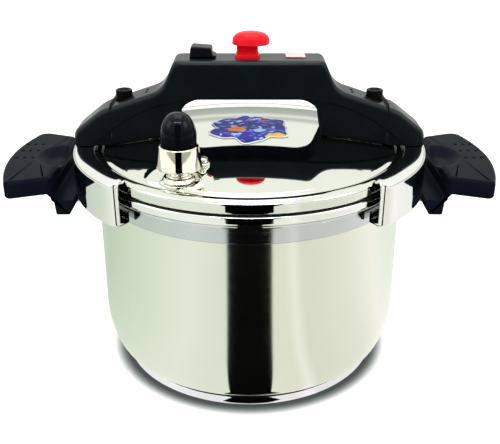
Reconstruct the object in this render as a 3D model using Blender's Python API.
"""Clamp-type pressure cooker: pot, lid, bridge handle, two sliding jaws and their press knob.

The origin is on the pot's axis at the surface it stands on. +Z is up, the bridge handle and
both side handles lie along X, and the regulator weight stands towards -Y.
Lengths below are written in millimetres and turned into metres by MM.
"""
import math

import bmesh
import bpy
from mathutils import Matrix, Vector

MM = 0.001
GAP = 0.3 * MM                      # clearance between touching pieces
SEGMENTS = 40                       # facets round the pot and the lid
SIDES = (("left", -1), ("right", 1))

# Pot
BODY_R = 121.5 * MM                 # outside of the straight wall
WALL = 1.5 * MM
BAND_R = 122.5 * MM                 # brushed neck band below the flange
BAND_LOW, BAND_TOP = 144.8 * MM, 157.0 * MM
FLANGE_R = 127.0 * MM
FLANGE_TOP = 167.0 * MM
RIM_INNER_R = 119.5 * MM
BASE_R = 106.0 * MM                 # encapsulated heat-spreading disc
BASE_HEIGHT = 10.3 * MM
FLOOR = BASE_HEIGHT + GAP
CORNER_RISE = 40.0 * MM             # height of the body's soft bottom corner

# Lid: a shallow dome z = DOME_TOP - DOME_DROP * r^2
DOME_TOP = 190.3 * MM
DOME_DROP = 0.86                    # per metre
DOME_R = 116.0 * MM
RING_BOTTOM = 170.7 * MM
SKIRT_R = 113.0 * MM
SKIRT_LOW = 160.5 * MM

# Jaws
JAW_HALF_ANGLE = math.radians(47.0)
JAW_R = 139.0 * MM
JAW_INNER_R = 118.0 * MM
JAW_TOP = 180.2 * MM
JAW_SHEET = 2.0 * MM
JAW_TRAVEL = 9.0 * MM
RIVET_X, RIVET_Y, RIVET_R = 129.5 * MM, 8.0 * MM, 1.5 * MM

# Bridge handle
BRIDGE_HALF_WIDTH = 18.0 * MM
BRIDGE_WALL = 3.5 * MM
BEAM_TOP = 246.5 * MM
BEAM_UNDER = 217.0 * MM
CAVITY_FLOOR = 221.0 * MM
BRIDGE_END_X = 138.0 * MM
SEAM_X = 107.0 * MM                 # where the shell ends and the end cap begins
WINDOW_FOOT_X = 56.5 * MM
POST_X, POST_Y = 78.0 * MM, 11.0 * MM
BUTTON_X = 98.0 * MM
BUTTON_R, BUTTON_LOW = 6.5 * MM, 211.0 * MM
SCREW_R = 2.0 * MM
CAP_SCREW_Z = 186.6 * MM
TAB_TOP = 189.4 * MM                # top of the arm's upright tab behind the end cap's screw
ARM_HALF_WIDTH = 6.0 * MM
ARM_SHEET = 3.0 * MM
CAM_Z = 232.0 * MM                  # height of the arms' cross pins
PIN_X = 9.0 * MM                    # cross pin's place with the jaws closed
PIN_R = 1.4 * MM
KNOB_TRAVEL = 6.0 * MM
STEM_LOW_X, STEM_HIGH_X, STEM_HALF_Y = -10.5 * MM, 7.5 * MM, 7.5 * MM
FLANGE_LOW = 238.6 * MM             # underside of the knob's flange
TAB_LIFT = 250.0 * MM               # top of the cam plate's tab inside the stem
KNOB_PIN_Z = 245.0 * MM
KNOB_SPRING_Y = 10.3 * MM
SLIDER_X = -38.0 * MM
SLIDER_TRAVEL = 8.0 * MM

# Valves on the lid
VENT = Vector((-48.0 * MM, -92.0 * MM, 0.0))
SAFETY = Vector((-33.0 * MM, -77.0 * MM, 0.0))
SEAT_TOP = 183.4 * MM

# Side handles and their brackets
BRACKET_LOW, BRACKET_TOP = 134.5 * MM, 144.3 * MM
BRACKET_X = 138.5 * MM
GRIP_LOW, GRIP_TOP = 152.0 * MM, 166.0 * MM
GRIP_INNER_X, GRIP_OUTER_X = 151.0 * MM, 194.5 * MM
HANDLE_SCREW_Y, HANDLE_SCREW_Z = 12.0 * MM, 139.5 * MM
HANDLE_HEAD_X = 146.3 * MM

BUTTON_PLACES = [(side * BUTTON_X, 0.0) for _, side in SIDES]
POST_PLACES = [(side * POST_X, y) for _, side in SIDES for y in (-POST_Y, POST_Y)]

STEEL = (0.78, 0.79, 0.76)
BAKELITE = (0.012, 0.014, 0.017)


def clear_scene():
    """Empty the file of whatever it opened with."""
    for item in list(bpy.data.objects):
        bpy.data.objects.remove(item, do_unlink=True)


def material(name, colour, roughness, metallic):
    """A Principled material in one colour."""
    made = bpy.data.materials.new(name)
    made.use_nodes = True
    shader = made.node_tree.nodes["Principled BSDF"]
    shader.inputs["Base Color"].default_value = (*colour, 1.0)
    shader.inputs["Roughness"].default_value = roughness
    shader.inputs["Metallic"].default_value = metallic
    return made


def link(name, bm, look=None):
    """Turn a bmesh into a smooth-shaded object; look is (colour, roughness, metallic)."""
    bmesh.ops.recalc_face_normals(bm, faces=bm.faces)
    mesh = bpy.data.meshes.new(name)
    bm.to_mesh(mesh)
    bm.free()
    mesh.shade_smooth()
    mesh.set_sharp_from_angle(angle=math.radians(35))
    made = bpy.data.objects.new(name, mesh)
    bpy.context.collection.objects.link(made)
    if look is not None:
        mesh.materials.append(material(name, *look))
    return made


def guide(name, bm):
    """An object that only cuts or joins another one."""
    made = link(name, bm)
    made.hide_render = True
    made.display_type = "WIRE"
    return made


def combine(target, tool, operation):
    """Add an exact Boolean of tool to target."""
    step = target.modifiers.new(operation.lower(), "BOOLEAN")
    step.operation = operation
    step.solver = "EXACT"
    step.object = tool


def hang(pieces, pivot, name):
    """Parent moving pieces to an empty on their joint's axis, without moving them."""
    empty = bpy.data.objects.new(name, None)
    empty.location = pivot
    bpy.context.collection.objects.link(empty)
    for piece in pieces:
        piece.data.transform(Matrix.Translation(-Vector(pivot)))
        piece.parent = empty


def rounded(corners, steps=4):
    """Outline through (a, b, radius) corners, each corner turned on an arc of its radius."""
    outline = []
    count = len(corners)
    for index, (a, b, radius) in enumerate(corners):
        here = Vector((a, b))
        if radius == 0.0:
            outline.append(here)
            continue
        before = (Vector(corners[index - 1][:2]) - here).normalized()
        after = (Vector(corners[(index + 1) % count][:2]) - here).normalized()
        half = before.angle(after) / 2
        centre = here + (before + after).normalized() * (radius / math.sin(half))
        start = here + before * (radius / math.tan(half)) - centre
        turn = start.angle_signed(here + after * (radius / math.tan(half)) - centre)
        for step in range(steps + 1):
            outline.append(centre + Matrix.Rotation(-turn * step / steps, 2) @ start)
    return outline


def prism(bm, outline, plane, low, high):
    """Extrude an outline, drawn in plane XY, XZ or YZ, from low to high along the third axis."""
    place = {
        "XY": lambda a, b, c: (a, b, c),
        "XZ": lambda a, b, c: (a, c, b),
        "YZ": lambda a, b, c: (c, a, b),
    }[plane]
    face = bm.faces.new([bm.verts.new(place(a, b, low)) for a, b in outline])
    grown = bmesh.ops.extrude_face_region(bm, geom=[face])["geom"]
    verts = [item for item in grown if isinstance(item, bmesh.types.BMVert)]
    bmesh.ops.translate(bm, verts=verts, vec=Vector(place(0, 0, high - low)))


def box(bm, low, high):
    """An upright box between two corners."""
    outline = [(low[0], low[1]), (high[0], low[1]), (high[0], high[1]), (low[0], high[1])]
    prism(bm, outline, "XY", low[2], high[2])


def turned(bm, profile, centre=(0.0, 0.0), segments=SEGMENTS):
    """Spin a closed (radius, height) profile once round the upright axis through centre."""
    lathe = bmesh.new()
    verts = [lathe.verts.new((radius, 0.0, height)) for radius, height in profile]
    edges = []
    for one, two in zip(verts, verts[1:] + verts[:1]):
        if max(one.co.x, two.co.x) > 0.0:
            edges.append(lathe.edges.new((one, two)))
    bmesh.ops.spin(lathe, geom=verts + edges, cent=(0, 0, 0), axis=(0, 0, 1),
                   angle=2 * math.pi, steps=segments, use_merge=True)
    bmesh.ops.remove_doubles(lathe, verts=lathe.verts[:], dist=0.00001)
    bmesh.ops.translate(lathe, verts=lathe.verts[:], vec=(centre[0], centre[1], 0.0))
    part = bpy.data.meshes.new("turned")
    lathe.to_mesh(part)
    lathe.free()
    bm.from_mesh(part)
    bpy.data.meshes.remove(part)


def cylinder(bm, centre, radius, low, high, axis="Z", segments=16):
    """A round bar along Z, X or Y; centre holds its two cross coordinates in axis order."""
    turn = {"Z": "XY", "X": "YZ", "Y": "XZ"}[axis]
    outline = [(centre[0] + radius * math.cos(2 * math.pi * i / segments),
                centre[1] + radius * math.sin(2 * math.pi * i / segments)) for i in range(segments)]
    prism(bm, outline, turn, low, high)


def dome(radius, lift=0.0):
    """Height of the lid's outer surface at a radius, raised by lift."""
    return DOME_TOP - DOME_DROP * radius * radius + lift


def dome_solid(bm, low, lift, radius=DOME_R + 8 * MM):
    """Everything below the lid's dome, raised by lift, down to the height low."""
    profile = [(0.0, low), (radius, low)]
    profile += [(radius * i / 6, dome(radius * i / 6, lift)) for i in range(6, -1, -1)]
    turned(bm, profile, segments=SEGMENTS)


def make_pot():
    """Deep-drawn body with a brushed neck band, a flared flange and a rolled rim."""
    outer = [(BASE_R + (BODY_R - BASE_R) * math.sin(math.pi / 2 * i / 5),
              FLOOR + CORNER_RISE * (1 - math.cos(math.pi / 2 * i / 5))) for i in range(6)]
    rim = [(BODY_R, BAND_LOW), (BAND_R, BAND_LOW + 0.6 * MM), (BAND_R, BAND_TOP),
           (FLANGE_R, 161.5 * MM), (FLANGE_R, 165.5 * MM), (FLANGE_R - 1.5 * MM, FLANGE_TOP),
           (RIM_INNER_R + 1.0 * MM, FLANGE_TOP), (RIM_INNER_R, 166.0 * MM)]
    inner = [(radius - WALL, max(height, FLOOR + WALL)) for radius, height in reversed(outer)]
    bm = bmesh.new()
    turned(bm, [(0.0, FLOOR)] + outer + rim + [(BODY_R - WALL, 158.0 * MM)] + inner
           + [(0.0, FLOOR + WALL)])
    link("pot_body", bm, (STEEL, 0.22, 1.0))


def make_base_disc():
    """Flat encapsulated base with turned edges."""
    edge = 1.2 * MM
    bm = bmesh.new()
    turned(bm, [(0.0, 0.0), (BASE_R - edge, 0.0), (BASE_R, edge), (BASE_R, BASE_HEIGHT - edge / 2),
                (BASE_R - edge / 2, BASE_HEIGHT), (0.0, BASE_HEIGHT)])
    link("base_disc", bm, ((0.82, 0.81, 0.88), 0.15, 1.0))


def make_lid():
    """Domed lid with a rolled ring over the flange and a skirt that holds the gasket."""
    bm = bmesh.new()
    outer = [(DOME_R * i / 6, dome(DOME_R * i / 6)) for i in range(7)]
    ring = [(119.0 * MM, 177.4 * MM), (123.0 * MM, 177.2 * MM), (125.8 * MM, 175.8 * MM),
            (127.0 * MM, 173.4 * MM), (127.0 * MM, 171.6 * MM), (126.2 * MM, RING_BOTTOM)]
    skirt = [(SKIRT_R, RING_BOTTOM), (SKIRT_R, SKIRT_LOW), (SKIRT_R - WALL, SKIRT_LOW),
             (SKIRT_R - WALL, 176.0 * MM), (108.0 * MM, dome(108.0 * MM, -WALL))]
    under = [(DOME_R * i / 6, dome(DOME_R * i / 6, -WALL)) for i in range(5, -1, -1)]
    turned(bm, outer + ring + skirt + under)
    lid = link("lid", bm, (STEEL, 0.05, 1.0))
    bm = bmesh.new()
    low, high = 165.0 * MM, 200.0 * MM
    cylinder(bm, VENT.xy, 5.0 * MM + GAP, low, high)
    cylinder(bm, SAFETY.xy, 4.0 * MM + GAP, low, high)
    for x in (-POST_X, POST_X):
        for y in (-POST_Y, POST_Y):
            cylinder(bm, (x, y), 2.0 * MM + GAP, low, high)
    combine(lid, guide("lid_holes", bm), "DIFFERENCE")


def make_gasket():
    """Silicone ring: a flat flange on the pot's rim and a lip inside it."""
    inner = SKIRT_R + GAP
    bm = bmesh.new()
    turned(bm, [(inner, RING_BOTTOM - GAP), (inner, 159.0 * MM), (inner + 3.0 * MM, 160.0 * MM),
                (inner + 3.0 * MM, FLANGE_TOP + GAP), (124.5 * MM, FLANGE_TOP + GAP),
                (124.5 * MM, RING_BOTTOM - GAP)])
    link("gasket", bm, ((0.10, 0.10, 0.10), 0.6, 0.0))


def make_vent():
    """Raised seat, vent pipe with its collar, the nut below the lid and the weight on top."""
    bm = bmesh.new()
    turned(bm, [(5.0 * MM + GAP, 172.0 * MM), (15.2 * MM, 172.0 * MM),
                (15.2 * MM, SEAT_TOP - 1.0 * MM), (14.2 * MM, SEAT_TOP), (5.0 * MM + GAP, SEAT_TOP)],
           VENT.xy, 24)
    seat = link("vent_seat", bm, (STEEL, 0.06, 1.0))
    bm = bmesh.new()
    dome_solid(bm, 160.0 * MM, GAP, DOME_R + 12 * MM)
    combine(seat, guide("vent_seat_cut", bm), "DIFFERENCE")
    bore = 1.25 * MM
    bm = bmesh.new()
    turned(bm, [(bore, 171.5 * MM), (5.0 * MM, 171.5 * MM), (5.0 * MM, SEAT_TOP + GAP),
                (9.2 * MM, SEAT_TOP + GAP), (9.2 * MM, 187.3 * MM), (3.2 * MM, 187.3 * MM),
                (3.0 * MM, 205.0 * MM), (2.2 * MM, 206.0 * MM), (bore, 206.0 * MM)], VENT.xy, 16)
    link("vent_pipe", bm, (STEEL, 0.12, 1.0))
    nut("vent_nut", VENT, 5.0 * MM + GAP, 7.0 * MM, 172.0 * MM, 175.8 * MM)
    bm = bmesh.new()
    turned(bm, [(4.0 * MM, 187.9 * MM), (15.0 * MM, 187.9 * MM), (15.8 * MM, 188.7 * MM),
                (13.8 * MM, 204.0 * MM), (8.0 * MM, 204.0 * MM), (8.0 * MM, 214.0 * MM),
                (0.0, 214.0 * MM), (0.0, 208.0 * MM), (4.0 * MM, 207.0 * MM)], VENT.xy, 24)
    weight = link("regulator_weight", bm, ((0.80, 0.76, 0.66), 0.08, 1.0))
    low, radius = 204.0 * MM + GAP, 12.6 * MM
    crown = [(radius * (1 - (i / 6) ** 2.4) ** (1 / 2.4), low + 8 * MM + 16.4 * MM * i / 6)
             for i in range(7)]
    bm = bmesh.new()
    turned(bm, [(8.0 * MM + GAP, low), (radius, low)] + crown
           + [(0.0, 214.0 * MM + GAP), (8.0 * MM + GAP, 214.0 * MM + GAP)], VENT.xy, 24)
    cap = link("regulator_cap", bm, (BAKELITE, 0.18, 0.0))
    hang((weight, cap), (VENT.x, VENT.y, 187.9 * MM), "regulator_axis")


def make_safety_valve():
    """Small valve body through the lid, its nut, and the poppet that lifts in it."""
    bm = bmesh.new()
    turned(bm, [(0.0, 175.0 * MM), (5.0 * MM, 175.0 * MM), (5.0 * MM, 187.2 * MM),
                (4.2 * MM, 188.2 * MM), (0.0, 188.2 * MM)], SAFETY.xy, 16)
    body = link("safety_valve_body", bm, (STEEL, 0.15, 1.0))
    bm = bmesh.new()
    dome_solid(bm, 160.0 * MM, GAP)
    combine(body, guide("safety_valve_cut", bm), "DIFFERENCE")
    bm = bmesh.new()
    cylinder(bm, SAFETY.xy, 4.0 * MM, 175.0 * MM, 187.0 * MM)
    combine(body, guide("safety_valve_stem", bm), "UNION")
    bm = bmesh.new()
    cylinder(bm, SAFETY.xy, 2.0 * MM, 170.0 * MM, 195.0 * MM, segments=12)
    combine(body, guide("safety_valve_bore", bm), "DIFFERENCE")
    nut("safety_valve_nut", SAFETY, 4.0 * MM + GAP, 6.5 * MM, 176.6 * MM, 180.2 * MM)
    bm = bmesh.new()
    turned(bm, [(0.0, 173.5 * MM), (1.6 * MM, 173.5 * MM), (1.6 * MM, 188.2 * MM + GAP),
                (3.8 * MM, 188.2 * MM + GAP), (3.8 * MM, 191.4 * MM), (3.0 * MM, 192.4 * MM),
                (0.0, 192.4 * MM)], SAFETY.xy, 12)
    poppet = link("safety_valve_poppet", bm, (STEEL, 0.15, 1.0))
    hang((poppet,), (SAFETY.x, SAFETY.y, 188.2 * MM), "safety_valve_axis")


def nut(name, centre, bore, radius, low, high):
    """Hexagon nut as one ring, flat to flat along X."""
    bm = bmesh.new()
    outline = [(centre.x + radius * math.cos(math.radians(60 * i + 30)),
                centre.y + radius * math.sin(math.radians(60 * i + 30))) for i in range(6)]
    prism(bm, outline, "XY", low, high)
    made = link(name, bm, (STEEL, 0.3, 1.0))
    bm = bmesh.new()
    cylinder(bm, centre.xy, bore, low - MM, high + MM, segments=12)
    combine(made, guide(name + "_bore", bm), "DIFFERENCE")


def bridge_top(margin):
    """Corners of the bridge's upper line over +X, from the beam out to the end, moved in."""
    return [(57.0 * MM - margin, BEAM_TOP - margin, 6.0 * MM - margin),
            (64.0 * MM - 1.2 * margin, 226.5 * MM - 0.75 * margin, 10.0 * MM + margin),
            (118.0 * MM - 0.3 * margin, 206.0 * MM - 1.15 * margin, 30.0 * MM - margin),
            (BRIDGE_END_X - margin, 190.0 * MM - 0.45 * margin, 9.0 * MM - margin)]


def mirrored(corners):
    """A right-hand run of corners and its mirror image, as one closed outline."""
    return corners + [(-a, b, radius) for a, b, radius in reversed(corners)]


def bridge_piece(name, corners, reach, look):
    """Extrude an outline across the bridge's width, round its long edges, keep an X range."""
    bm = bmesh.new()
    prism(bm, rounded(corners), "XZ", -BRIDGE_HALF_WIDTH, BRIDGE_HALF_WIDTH)
    made = link(name, bm, look)
    edge = made.modifiers.new("long_edges", "BEVEL")
    edge.width = 2.5 * MM
    edge.segments = 2
    edge.limit_method = "ANGLE"
    edge.angle_limit = math.radians(70)
    bm = bmesh.new()
    box(bm, (reach[0], -0.05, 0.15), (reach[1], 0.05, 0.30))
    combine(made, guide(name + "_reach", bm), "INTERSECT")
    return made


def bridge_holes(radius, low, high, places, segments=12):
    """One guide's worth of upright round tools at (x, y) places, as a fresh bmesh."""
    bm = bmesh.new()
    for x, y in places:
        cylinder(bm, (x, y), radius, low, high, segments=segments)
    return bm


def make_bridge_shell():
    """Hollow arch from arm to arm, with button wells, screw posts and openings in its roof."""
    under = [(51.5 * MM, BEAM_UNDER, 11.0 * MM)]
    under += [(x, dome(x, 0.4 * MM), 0.0) for x in (WINDOW_FOOT_X, 69.0 * MM, 82.0 * MM, 95.0 * MM,
                                                    SEAM_X, 120.0 * MM, BRIDGE_END_X)]
    shell = bridge_piece("bridge_shell", mirrored(bridge_top(0.0) + under[::-1]),
                         (-SEAM_X, SEAM_X), (BAKELITE, 0.3, 0.0))
    wall = BRIDGE_WALL
    beyond, below = 150.0 * MM, 170.0 * MM
    top = bridge_top(wall)[:3] + [(beyond, 182.0 * MM, 0.0)]
    inside = [(beyond, below, 0.0), (WINDOW_FOOT_X + wall, below, 0.0),
              (WINDOW_FOOT_X + wall, dome(WINDOW_FOOT_X, 3.0 * MM), 0.0),
              (53.0 * MM, CAVITY_FLOOR, 9.0 * MM)]
    bm = bmesh.new()
    prism(bm, rounded(mirrored(top + inside)), "XZ", wall - BRIDGE_HALF_WIDTH, BRIDGE_HALF_WIDTH - wall)
    cavity = guide("bridge_cavity", bm)
    well_floor = 203.0 * MM
    bm = bridge_holes(9.0 * MM, well_floor - 2.5 * MM, 230.0 * MM, BUTTON_PLACES, 20)
    combine(cavity, guide("bridge_wells", bm), "DIFFERENCE")
    bm = bridge_holes(3.6 * MM, 188.3 * MM, 230.0 * MM, POST_PLACES)
    combine(cavity, guide("bridge_posts", bm), "DIFFERENCE")
    combine(shell, cavity, "DIFFERENCE")
    bm = bridge_holes(BUTTON_R + 0.4 * MM, well_floor, 235.0 * MM, BUTTON_PLACES, 20)
    combine(shell, guide("bridge_button_holes", bm), "DIFFERENCE")
    bm = bridge_holes(2.6 * MM, 195.0 * MM, well_floor + MM, BUTTON_PLACES)
    combine(shell, guide("bridge_stem_holes", bm), "DIFFERENCE")
    bm = bridge_holes(SCREW_R + GAP, 185.0 * MM, 199.0 * MM, POST_PLACES)
    combine(shell, guide("bridge_screw_holes", bm), "DIFFERENCE")
    play = 0.5 * MM
    bm = bmesh.new()
    box(bm, (STEM_LOW_X - play, -STEM_HALF_Y - play, 236.0 * MM),
        (STEM_HIGH_X + play, STEM_HALF_Y + play, 260.0 * MM))
    box(bm, (SLIDER_X - 3.4 * MM, -3.4 * MM, 236.0 * MM),
        (SLIDER_X + 3.4 * MM + SLIDER_TRAVEL, 3.4 * MM, 260.0 * MM))
    combine(shell, guide("bridge_openings", bm), "DIFFERENCE")


def make_base_plates():
    """Steel strap under each arm, bent to the dome and clamped by two lid screws."""
    low_x, high_x, steps = 61.5 * MM, 104.0 * MM, 4
    for name, side in SIDES:
        xs = [low_x + (high_x - low_x) * i / steps for i in range(steps + 1)]
        line = [(side * x, dome(x, 0.4 * MM)) for x in xs]
        line += [(side * x, dome(x, 2.2 * MM)) for x in reversed(xs)]
        bm = bmesh.new()
        prism(bm, line, "XZ", -13.8 * MM, 13.8 * MM)
        plate = link("base_plate_" + name, bm, (STEEL, 0.4, 1.0))
        places = [(side * POST_X, y) for y in (-POST_Y, POST_Y)]
        bm = bridge_holes(SCREW_R + GAP, 170.0 * MM, 200.0 * MM, places)
        combine(plate, guide("base_plate_holes_" + name, bm), "DIFFERENCE")


def make_lid_screws():
    """Pan-head screws from inside the lid, through lid and strap, into the shell's posts."""
    head_top = dome(math.hypot(POST_X + 4 * MM, POST_Y), -WALL - GAP)
    for name, side in SIDES:
        for end, y in (("front", -POST_Y), ("back", POST_Y)):
            bm = bmesh.new()
            turned(bm, [(0.0, head_top - 2.4 * MM), (3.0 * MM, head_top - 2.4 * MM),
                        (3.8 * MM, head_top - 1.4 * MM), (3.8 * MM, head_top),
                        (SCREW_R, head_top), (SCREW_R, 198.0 * MM), (0.0, 198.0 * MM)],
                   (side * POST_X, y), 12)
            link("lid_screw_" + name + "_" + end, bm, (STEEL, 0.3, 1.0))


def make_jaw(name, side):
    """Pressed C-section arc: a lip over the lid's ring, a web, and a lip under the flange."""
    web = JAW_R - 1.1 * JAW_SHEET
    section = [(JAW_INNER_R, JAW_TOP), (JAW_R - 1.4 * MM, JAW_TOP), (JAW_R, JAW_TOP - 1.4 * MM),
               (JAW_R, 148.8 * MM), (JAW_R - 1.5 * MM, 147.3 * MM), (126.0 * MM, 148.6 * MM),
               (124.8 * MM, 150.0 * MM), (124.8 * MM, 156.4 * MM), (126.8 * MM, 156.4 * MM),
               (127.0 * MM, 150.6 * MM), (web, 149.6 * MM), (web, JAW_TOP - JAW_SHEET),
               (JAW_INNER_R, JAW_TOP - JAW_SHEET)]
    start = -JAW_HALF_ANGLE if side > 0 else math.pi - JAW_HALF_ANGLE
    bm = bmesh.new()
    face = bm.faces.new([bm.verts.new((radius * math.cos(start), radius * math.sin(start), height))
                         for radius, height in section])
    bmesh.ops.spin(bm, geom=[face], cent=(0, 0, 0), axis=(0, 0, 1), angle=2 * JAW_HALF_ANGLE, steps=12)
    jaw = link("jaw_" + name, bm, (STEEL, 0.05, 1.0))
    bm = bridge_holes(RIVET_R + GAP, 170.0 * MM, 190.0 * MM, rivet_places(side))
    combine(jaw, guide("jaw_holes_" + name, bm), "DIFFERENCE")
    return jaw


def rivet_places(side):
    """Where the two rivets of one side stand."""
    return [(side * RIVET_X, -RIVET_Y), (side * RIVET_X, RIVET_Y)]


def thick_line(points, thickness):
    """Outline of a bent sheet: the points moved half a thickness to both sides, mitred."""
    places = [Vector(point) for point in points]
    left, right = [], []
    for index, here in enumerate(places):
        before = here - places[index - 1] if index else places[1] - here
        after = places[index + 1] - here if index + 1 < len(places) else before
        along = (before.normalized() + after.normalized()).normalized()
        across = Vector((-along.y, along.x)) * (thickness / 2 / along.dot(before.normalized()))
        left.append(here + across)
        right.append(here - across)
    return left + right[::-1]


def make_slide_arm(name, side):
    """Bent steel arm: a fork with a cross pin at the cam plate, and a riveted foot on the jaw."""
    foot_low = JAW_TOP + GAP
    foot_high = foot_low + ARM_SHEET
    path = [(5.0, 232.0), (42.0, 232.0), (50.0, 223.0), (63.2, 208.0), (75.6, 196.0),
            (119.0, 196.0), (124.0, 183.5)]
    bm = bmesh.new()
    prism(bm, thick_line([(side * x * MM, z * MM) for x, z in path], ARM_SHEET), "XZ",
          -ARM_HALF_WIDTH, ARM_HALF_WIDTH)
    arm = link("slide_arm_" + name, bm, (STEEL, 0.35, 1.0))

    def span(x_low, x_high, half_y, z_low, z_high):
        block = bmesh.new()
        ends = sorted((side * x_low * MM, side * x_high * MM))
        box(block, (ends[0], -half_y, z_low), (ends[1], half_y, z_high))
        return block

    foot = guide("arm_foot_" + name, span(120.5, 133.4, 12.0 * MM, foot_low, foot_high))
    tab = guide("arm_tab_" + name, span(130.2, 133.2, 4.4 * MM, foot_low + MM, TAB_TOP))
    combine(arm, foot, "UNION")
    combine(arm, tab, "UNION")
    fork = guide("arm_fork_" + name, span(0.0, 26.0, 2.0 * MM, 225.0 * MM, 240.0 * MM))
    combine(arm, fork, "DIFFERENCE")
    bm = bmesh.new()
    cylinder(bm, (side * PIN_X, CAM_Z), PIN_R, -0.95 * ARM_HALF_WIDTH, 0.95 * ARM_HALF_WIDTH, "Y", 10)
    combine(arm, guide("arm_pin_" + name, bm), "UNION")
    slot = guide("arm_slot_" + name, span(85.8, 101.4, 2.7 * MM, 190.0 * MM, 200.0 * MM))
    combine(arm, slot, "DIFFERENCE")
    bm = bridge_holes(RIVET_R + GAP, 170.0 * MM, 190.0 * MM, rivet_places(side))
    low, high = sorted((side * 125.0 * MM, side * 145.0 * MM))
    cylinder(bm, (0.0, CAP_SCREW_Z), 1.5 * MM + GAP, low, high, "X", 12)
    combine(arm, guide("arm_holes_" + name, bm), "DIFFERENCE")
    return arm


def make_end_cap(name, side):
    """Bakelite hood over the jaw's foot, open below and towards the shell, with its screw."""
    wall = 3.0 * MM
    low = JAW_TOP + GAP
    seam = SEAM_X + GAP
    under = [(seam - 6.0 * MM, dome(seam - 6.0 * MM, 0.5 * MM), 0.0), (112.0 * MM, low, 0.0),
             (BRIDGE_END_X, low, 0.0)]
    right = bridge_top(0.0)[2:]
    run = [(80.0 * MM, 220.4 * MM, 0.0)] + right + under[::-1] + [(80.0 * MM, 200.0 * MM, 0.0)]
    reach = sorted((side * seam, side * 0.15))
    cap = bridge_piece("end_cap_" + name, [(side * a, b, radius) for a, b, radius in run],
                       reach, (BAKELITE, 0.3, 0.0))
    top = bridge_top(wall)[2:]
    run = [(80.0 * MM, 216.6 * MM, 0.0)] + top + [(BRIDGE_END_X - wall, 170.0 * MM, 0.0),
                                                  (80.0 * MM, 170.0 * MM, 0.0)]
    bm = bmesh.new()
    prism(bm, rounded([(side * a, b, radius) for a, b, radius in run]), "XZ",
          wall - BRIDGE_HALF_WIDTH, BRIDGE_HALF_WIDTH - wall)
    combine(cap, guide("end_cap_cavity_" + name, bm), "DIFFERENCE")
    head_x = BRIDGE_END_X - 1.2 * MM
    stepped_hole(cap, side, 125.0 * MM, head_x - GAP, (0.0, CAP_SCREW_Z), (3.1 * MM, 1.5 * MM + GAP))
    screw = x_screw("end_cap_screw_" + name, side, head_x, 1.0 * MM, (0.0, CAP_SCREW_Z),
                    (2.8 * MM, 1.5 * MM), 126.5 * MM)
    return cap, screw


def x_turned(profile, side, centre):
    """Spin a (radius, distance) profile round a line along X through centre (y, z)."""
    bm = bmesh.new()
    turned(bm, profile, segments=12)
    lay = Matrix.Rotation(side * math.pi / 2, 3, "Y")
    bmesh.ops.rotate(bm, verts=bm.verts[:], cent=(0, 0, 0), matrix=lay)
    bmesh.ops.translate(bm, verts=bm.verts[:], vec=(0.0, centre[0], centre[1]))
    return bm


def x_screw(name, side, head_x, head_height, centre, radii, tip_x):
    """Screw along X: its head's inner face at head_x, its shank running in to tip_x."""
    wide, thin = radii
    profile = [(0.0, tip_x), (thin, tip_x), (thin, head_x), (wide, head_x),
               (wide, head_x + 0.7 * head_height), (0.85 * wide, head_x + head_height),
               (0.0, head_x + head_height)]
    return link(name, x_turned(profile, side, centre), (STEEL, 0.3, 1.0))


def stepped_hole(target, side, start_x, seat_x, centre, radii):
    """Cut a screw's hole from start_x outwards, with a wider recess for its head from seat_x."""
    wide, thin = radii
    beyond = 0.2
    profile = [(0.0, start_x), (thin, start_x), (thin, seat_x), (wide, seat_x), (wide, beyond),
               (0.0, beyond)]
    name = target.name + "_hole_%d" % len(target.modifiers)
    combine(target, guide(name, x_turned(profile, side, centre)), "DIFFERENCE")


def make_rivets(name, side):
    """Two round-headed rivets through the arm's foot and the jaw's top lip."""
    made = []
    head_low = JAW_TOP + 2 * GAP + ARM_SHEET
    tail_top = JAW_TOP - JAW_SHEET - GAP
    for end, place in zip(("front", "back"), rivet_places(side)):
        bm = bmesh.new()
        turned(bm, [(0.0, tail_top - 1.2 * MM), (2.0 * MM, tail_top - 1.2 * MM), (2.4 * MM, tail_top),
                    (RIVET_R, tail_top), (RIVET_R, head_low), (2.8 * MM, head_low),
                    (2.2 * MM, head_low + 1.2 * MM), (0.0, head_low + 1.6 * MM)], place, 12)
        made.append(link("jaw_rivet_" + name + "_" + end, bm, (STEEL, 0.3, 1.0)))
    return made


def make_jaw_group(name, side):
    """Everything that slides outwards on one side."""
    pieces = [make_jaw(name, side), make_slide_arm(name, side), *make_end_cap(name, side)]
    pieces += make_rivets(name, side)
    hang(pieces, (side * RIVET_X, 0.0, JAW_TOP), "jaw_axis_" + name)


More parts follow.
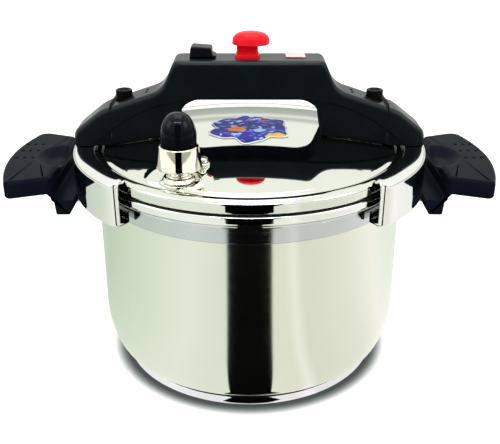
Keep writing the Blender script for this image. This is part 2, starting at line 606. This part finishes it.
def make_cam_plate():
    """Steel plate whose two slanted slots push the arms' pins out as it goes down."""
    top = CAM_Z + 9.5 * MM
    outline = [(-22.0 * MM, CAM_Z - 3.5 * MM), (22.0 * MM, CAM_Z - 3.5 * MM), (22.0 * MM, top),
               (4.0 * MM, top), (4.0 * MM, TAB_LIFT), (-4.0 * MM, TAB_LIFT), (-4.0 * MM, top),
               (-22.0 * MM, top)]
    bm = bmesh.new()
    prism(bm, outline, "XZ", -1.5 * MM, 1.5 * MM)
    plate = link("cam_plate", bm, (STEEL, 0.3, 1.0))
    slope = math.atan2(KNOB_TRAVEL, JAW_TRAVEL)
    radius = PIN_R + 0.35 * MM
    bm = bmesh.new()
    for _, side in SIDES:
        slot = []
        for turn in range(12):
            angle = slope + math.pi / 2 + math.pi * turn / 5 if turn < 6 else \
                slope - math.pi / 2 + math.pi * (turn - 6) / 5
            far = 0.0 if turn < 6 else 1.0
            slot.append((side * (PIN_X + far * JAW_TRAVEL + radius * math.cos(angle)),
                         CAM_Z + far * KNOB_TRAVEL + radius * math.sin(angle)))
        prism(bm, slot, "XZ", -5.0 * MM, 5.0 * MM)
    cylinder(bm, (0.0, KNOB_PIN_Z), 1.2 * MM, -5.0 * MM, 5.0 * MM, "Y", 10)
    combine(plate, guide("cam_slots", bm), "DIFFERENCE")
    return plate


def make_knob():
    """Red press knob with an overhanging oval head, a stem and a flange under the roof."""
    head_low, head_top = 256.3 * MM, 266.0 * MM
    centre_x, half_x, half_y = 1.2 * MM, 14.4 * MM, 12.0 * MM
    bm = bmesh.new()
    levels = [(0.93, head_low), (1.0, head_low + 1.5 * MM), (0.99, head_low + 4.5 * MM),
              (0.86, head_top - 2.0 * MM), (0.55, head_top - 0.3 * MM)]
    turned(bm, [(0.0, head_low)] + levels + [(0.0, head_top)], segments=24)
    for vert in bm.verts:
        vert.co.x = centre_x + vert.co.x * half_x
        vert.co.y *= half_y
    knob = link("red_knob", bm, ((0.75, 0.01, 0.02), 0.25, 0.0))
    bm = bmesh.new()
    box(bm, (STEM_LOW_X, -STEM_HALF_Y, 240.0 * MM), (STEM_HIGH_X, STEM_HALF_Y, head_low + 2.0 * MM))
    combine(knob, guide("knob_stem", bm), "UNION")
    bm = bmesh.new()
    box(bm, (STEM_LOW_X + 0.2 * MM, -13.2 * MM, FLANGE_LOW), (STEM_HIGH_X - 0.2 * MM, 13.2 * MM, 242.5 * MM))
    combine(knob, guide("knob_flange", bm), "UNION")
    bm = bmesh.new()
    box(bm, (-30.0 * MM, -1.8 * MM, 230.0 * MM), (30.0 * MM, 1.8 * MM, CAM_Z + 9.8 * MM))
    combine(knob, guide("knob_slot", bm), "DIFFERENCE")
    bm = bmesh.new()
    box(bm, (-4.4 * MM, -1.8 * MM, CAM_Z + 8.0 * MM), (4.4 * MM, 1.8 * MM, TAB_LIFT + GAP))
    combine(knob, guide("knob_pocket", bm), "DIFFERENCE")
    bm = bmesh.new()
    cylinder(bm, (0.0, KNOB_PIN_Z), 1.2 * MM, -20.0 * MM, 20.0 * MM, "Y", 10)
    combine(knob, guide("knob_pin_hole", bm), "DIFFERENCE")
    bm = bmesh.new()
    cylinder(bm, (0.0, KNOB_PIN_Z), 0.9 * MM, -7.2 * MM, 7.2 * MM, "Y", 10)
    pin = link("knob_pin", bm, (STEEL, 0.3, 1.0))
    hang((knob, make_cam_plate(), pin), (0.0, 0.0, CAM_Z), "knob_axis")


def make_spring(name, centre, radius, wire, low, high, turns):
    """Compression spring: a round section carried along a helix, closed at both ends."""
    around, sides = 8, 4
    count = turns * around
    bm = bmesh.new()
    rings = []
    for step in range(count + 1):
        angle = 2 * math.pi * step / around
        out = Vector((math.cos(angle), math.sin(angle), 0.0))
        place = Vector((centre[0], centre[1], low + wire + (high - low - 2 * wire) * step / count))
        place += out * radius
        rings.append([bm.verts.new(place + (out * math.cos(t) + Vector((0, 0, 1)) * math.sin(t)) * wire)
                      for t in (2 * math.pi * i / sides for i in range(sides))])
    for one, two in zip(rings, rings[1:]):
        for i in range(sides):
            bm.faces.new((one[i], one[(i + 1) % sides], two[(i + 1) % sides], two[i]))
    bm.faces.new(rings[0])
    bm.faces.new(rings[-1])
    link(name, bm, (STEEL, 0.35, 1.0))


def make_latch_buttons():
    """Round shoulder buttons in their wells, each with a stem and a spring under its head."""
    for name, side in SIDES:
        x = side * BUTTON_X
        bm = bmesh.new()
        turned(bm, [(0.0, 192.6 * MM), (2.2 * MM, 192.6 * MM), (2.2 * MM, BUTTON_LOW),
                    (BUTTON_R, BUTTON_LOW), (BUTTON_R, 220.6 * MM), (BUTTON_R - 0.9 * MM, 221.5 * MM),
                    (BUTTON_R - 2.0 * MM, 221.3 * MM), (0.0, 220.5 * MM)], (x, 0.0), 20)
        button = link("latch_button_" + name, bm, (BAKELITE, 0.25, 0.0))
        hang((button,), (x, 0.0, BUTTON_LOW), "latch_axis_" + name)
        make_spring("latch_spring_" + name, (x, 0.0), 4.4 * MM, 0.45 * MM,
                    203.0 * MM + GAP, BUTTON_LOW - GAP, 3)


def make_slider():
    """Thumb slider on the beam's top, with its neck through the slot and a plate to keep it."""
    outline = [(-45.5, 246.8, 0.0), (-44.6, 255.8, 2.0), (-28.6, 254.6, 1.5), (-28.0, 249.4, 0.8),
               (-25.6, 248.8, 0.6), (-25.6, 246.8, 0.0)]
    bm = bmesh.new()
    prism(bm, rounded([(a * MM, b * MM, radius * MM) for a, b, radius in outline], 2), "XZ",
          -8.0 * MM, 8.0 * MM)
    slider = link("slider_knob", bm, (BAKELITE, 0.25, 0.0))
    neck = 3.0 * MM
    bm = bmesh.new()
    box(bm, (SLIDER_X - neck, -neck, 239.6 * MM), (SLIDER_X + neck, neck, 249.0 * MM))
    combine(slider, guide("slider_neck", bm), "UNION")
    bm = bmesh.new()
    box(bm, (SLIDER_X - 7.0 * MM, -9.0 * MM, 239.4 * MM), (SLIDER_X + 7.0 * MM, 9.0 * MM, 242.6 * MM))
    keeper = link("slider_keeper", bm, (STEEL, 0.4, 1.0))
    bm = bmesh.new()
    hole = neck + GAP
    box(bm, (SLIDER_X - hole, -hole, 236.0 * MM), (SLIDER_X + hole, hole, 245.0 * MM))
    combine(keeper, guide("slider_keeper_hole", bm), "DIFFERENCE")
    hang((slider, keeper), (SLIDER_X, 0.0, BEAM_TOP), "slider_axis")


def make_plates():
    """Oval badge lying on the dome under the bridge, and a small plate on the beam."""
    half_x, half_y = 35.0 * MM, 38.0 * MM
    bm = bmesh.new()
    outline = [(half_x * math.cos(math.pi * i / 12), half_y * math.sin(math.pi * i / 12)) for i in range(24)]
    rings = []
    top = 0.8 * MM
    for lift, share in ((GAP, 0.4), (GAP, 0.75), (GAP, 1.0), (top, 1.0), (top, 0.75), (top, 0.4)):
        rings.append([bm.verts.new((x * share, y * share, dome(math.hypot(x, y) * share, lift)))
                      for x, y in outline])
    for one, two in zip(rings, rings[1:]):
        for i in range(24):
            bm.faces.new((one[i], one[i - 1], two[i - 1], two[i]))
    bm.faces.new(rings[0])
    bm.faces.new(rings[-1])
    link("lid_badge", bm, ((0.05, 0.08, 0.55), 0.3, 0.0))
    bm = bmesh.new()
    box(bm, (28.0 * MM, -4.0 * MM, BEAM_TOP + GAP), (43.0 * MM, 13.0 * MM, BEAM_TOP + 0.7 * MM))
    link("beam_plate", bm, ((0.85, 0.80, 0.78), 0.4, 0.0))


def make_bracket(name, side):
    """Bent steel strap welded to the pot, carrying one side handle on its flat front."""
    radius = BODY_R + GAP + 1.0 * MM
    run = [(radius * math.cos(math.radians(angle)), radius * math.sin(math.radians(angle)))
           for angle in (17.0, 13.5, 10.0)] + [(BRACKET_X - 1.0 * MM, 19.0 * MM)]
    run += [(x, -y) for x, y in reversed(run)]
    bm = bmesh.new()
    prism(bm, thick_line([(side * x, y) for x, y in run], 2.0 * MM), "XY", BRACKET_LOW, BRACKET_TOP)
    bracket = link("handle_bracket_" + name, bm, (STEEL, 0.3, 1.0))
    bm = bmesh.new()
    low, high = sorted((side * 0.130, side * 0.145))
    for y in (-HANDLE_SCREW_Y, HANDLE_SCREW_Y):
        cylinder(bm, (y, HANDLE_SCREW_Z), SCREW_R + GAP, low, high, "X", 12)
    combine(bracket, guide("bracket_holes_" + name, bm), "DIFFERENCE")


def make_side_handle(name, side):
    """Bakelite grip that flares outwards, on an apron that goes down in front of the bracket."""
    plan = [(GRIP_INNER_X, -50.0 * MM, 3.0 * MM), (182.5 * MM, -62.0 * MM, 5.0 * MM),
            (190.4 * MM, -31.0 * MM, 0.0), (GRIP_OUTER_X, 0.0, 0.0), (GRIP_OUTER_X, 11.0 * MM, 0.0),
            (191.0 * MM, 41.0 * MM, 0.0), (184.5 * MM, 69.0 * MM, 10.0 * MM),
            (GRIP_INNER_X, 56.0 * MM, 3.0 * MM)]
    bm = bmesh.new()
    prism(bm, rounded([(side * a, b, radius) for a, b, radius in plan]), "XY", GRIP_LOW, GRIP_TOP)
    handle = link("side_handle_" + name, bm, (BAKELITE, 0.35, 0.0))
    edge = handle.modifiers.new("edges", "BEVEL")
    edge.width = 2.5 * MM
    edge.segments = 2
    edge.limit_method = "ANGLE"
    edge.angle_limit = math.radians(70)
    apron = [(138.6, 134.0, 1.0), (133.6, 146.4, 0.0), (150.6, 146.4, 0.0), (150.6, 153.0, 0.0),
             (159.0, 155.0, 0.0), (155.0, 149.0, 0.0), (148.6, 134.0, 1.0)]
    bm = bmesh.new()
    prism(bm, rounded([(side * a * MM, b * MM, radius * MM) for a, b, radius in apron]), "XZ",
          -46.0 * MM, 46.0 * MM)
    combine(handle, guide("handle_apron_" + name, bm), "UNION")
    bm = bmesh.new()
    low, high = sorted((side * 0.120, side * (BRACKET_X + GAP)))
    box(bm, (low, -24.0 * MM, 130.0 * MM), (high, 24.0 * MM, 150.0 * MM))
    combine(handle, guide("handle_seat_" + name, bm), "DIFFERENCE")
    for end, y in (("front", -HANDLE_SCREW_Y), ("back", HANDLE_SCREW_Y)):
        stepped_hole(handle, side, 130.0 * MM, HANDLE_HEAD_X - GAP, (y, HANDLE_SCREW_Z),
                     (4.2 * MM, SCREW_R + GAP))
        x_screw("handle_screw_" + name + "_" + end, side, HANDLE_HEAD_X, 2.4 * MM,
                (y, HANDLE_SCREW_Z), (3.8 * MM, SCREW_R), 134.0 * MM)


def build():
    """Model the whole cooker, from the pot up."""
    clear_scene()
    make_pot()
    make_base_disc()
    for name, side in SIDES:
        make_bracket(name, side)
        make_side_handle(name, side)
    make_lid()
    make_gasket()
    make_vent()
    make_safety_valve()
    make_plates()
    make_bridge_shell()
    make_base_plates()
    make_lid_screws()
    for name, side in SIDES:
        make_jaw_group(name, side)
    make_knob()
    for end, y in (("front", -KNOB_SPRING_Y), ("back", KNOB_SPRING_Y)):
        make_spring("knob_spring_" + end, (-1.5 * MM, y), 2.4 * MM, 0.4 * MM,
                    CAVITY_FLOOR + GAP, FLANGE_LOW - GAP, 6)
    make_latch_buttons()
    make_slider()


build()
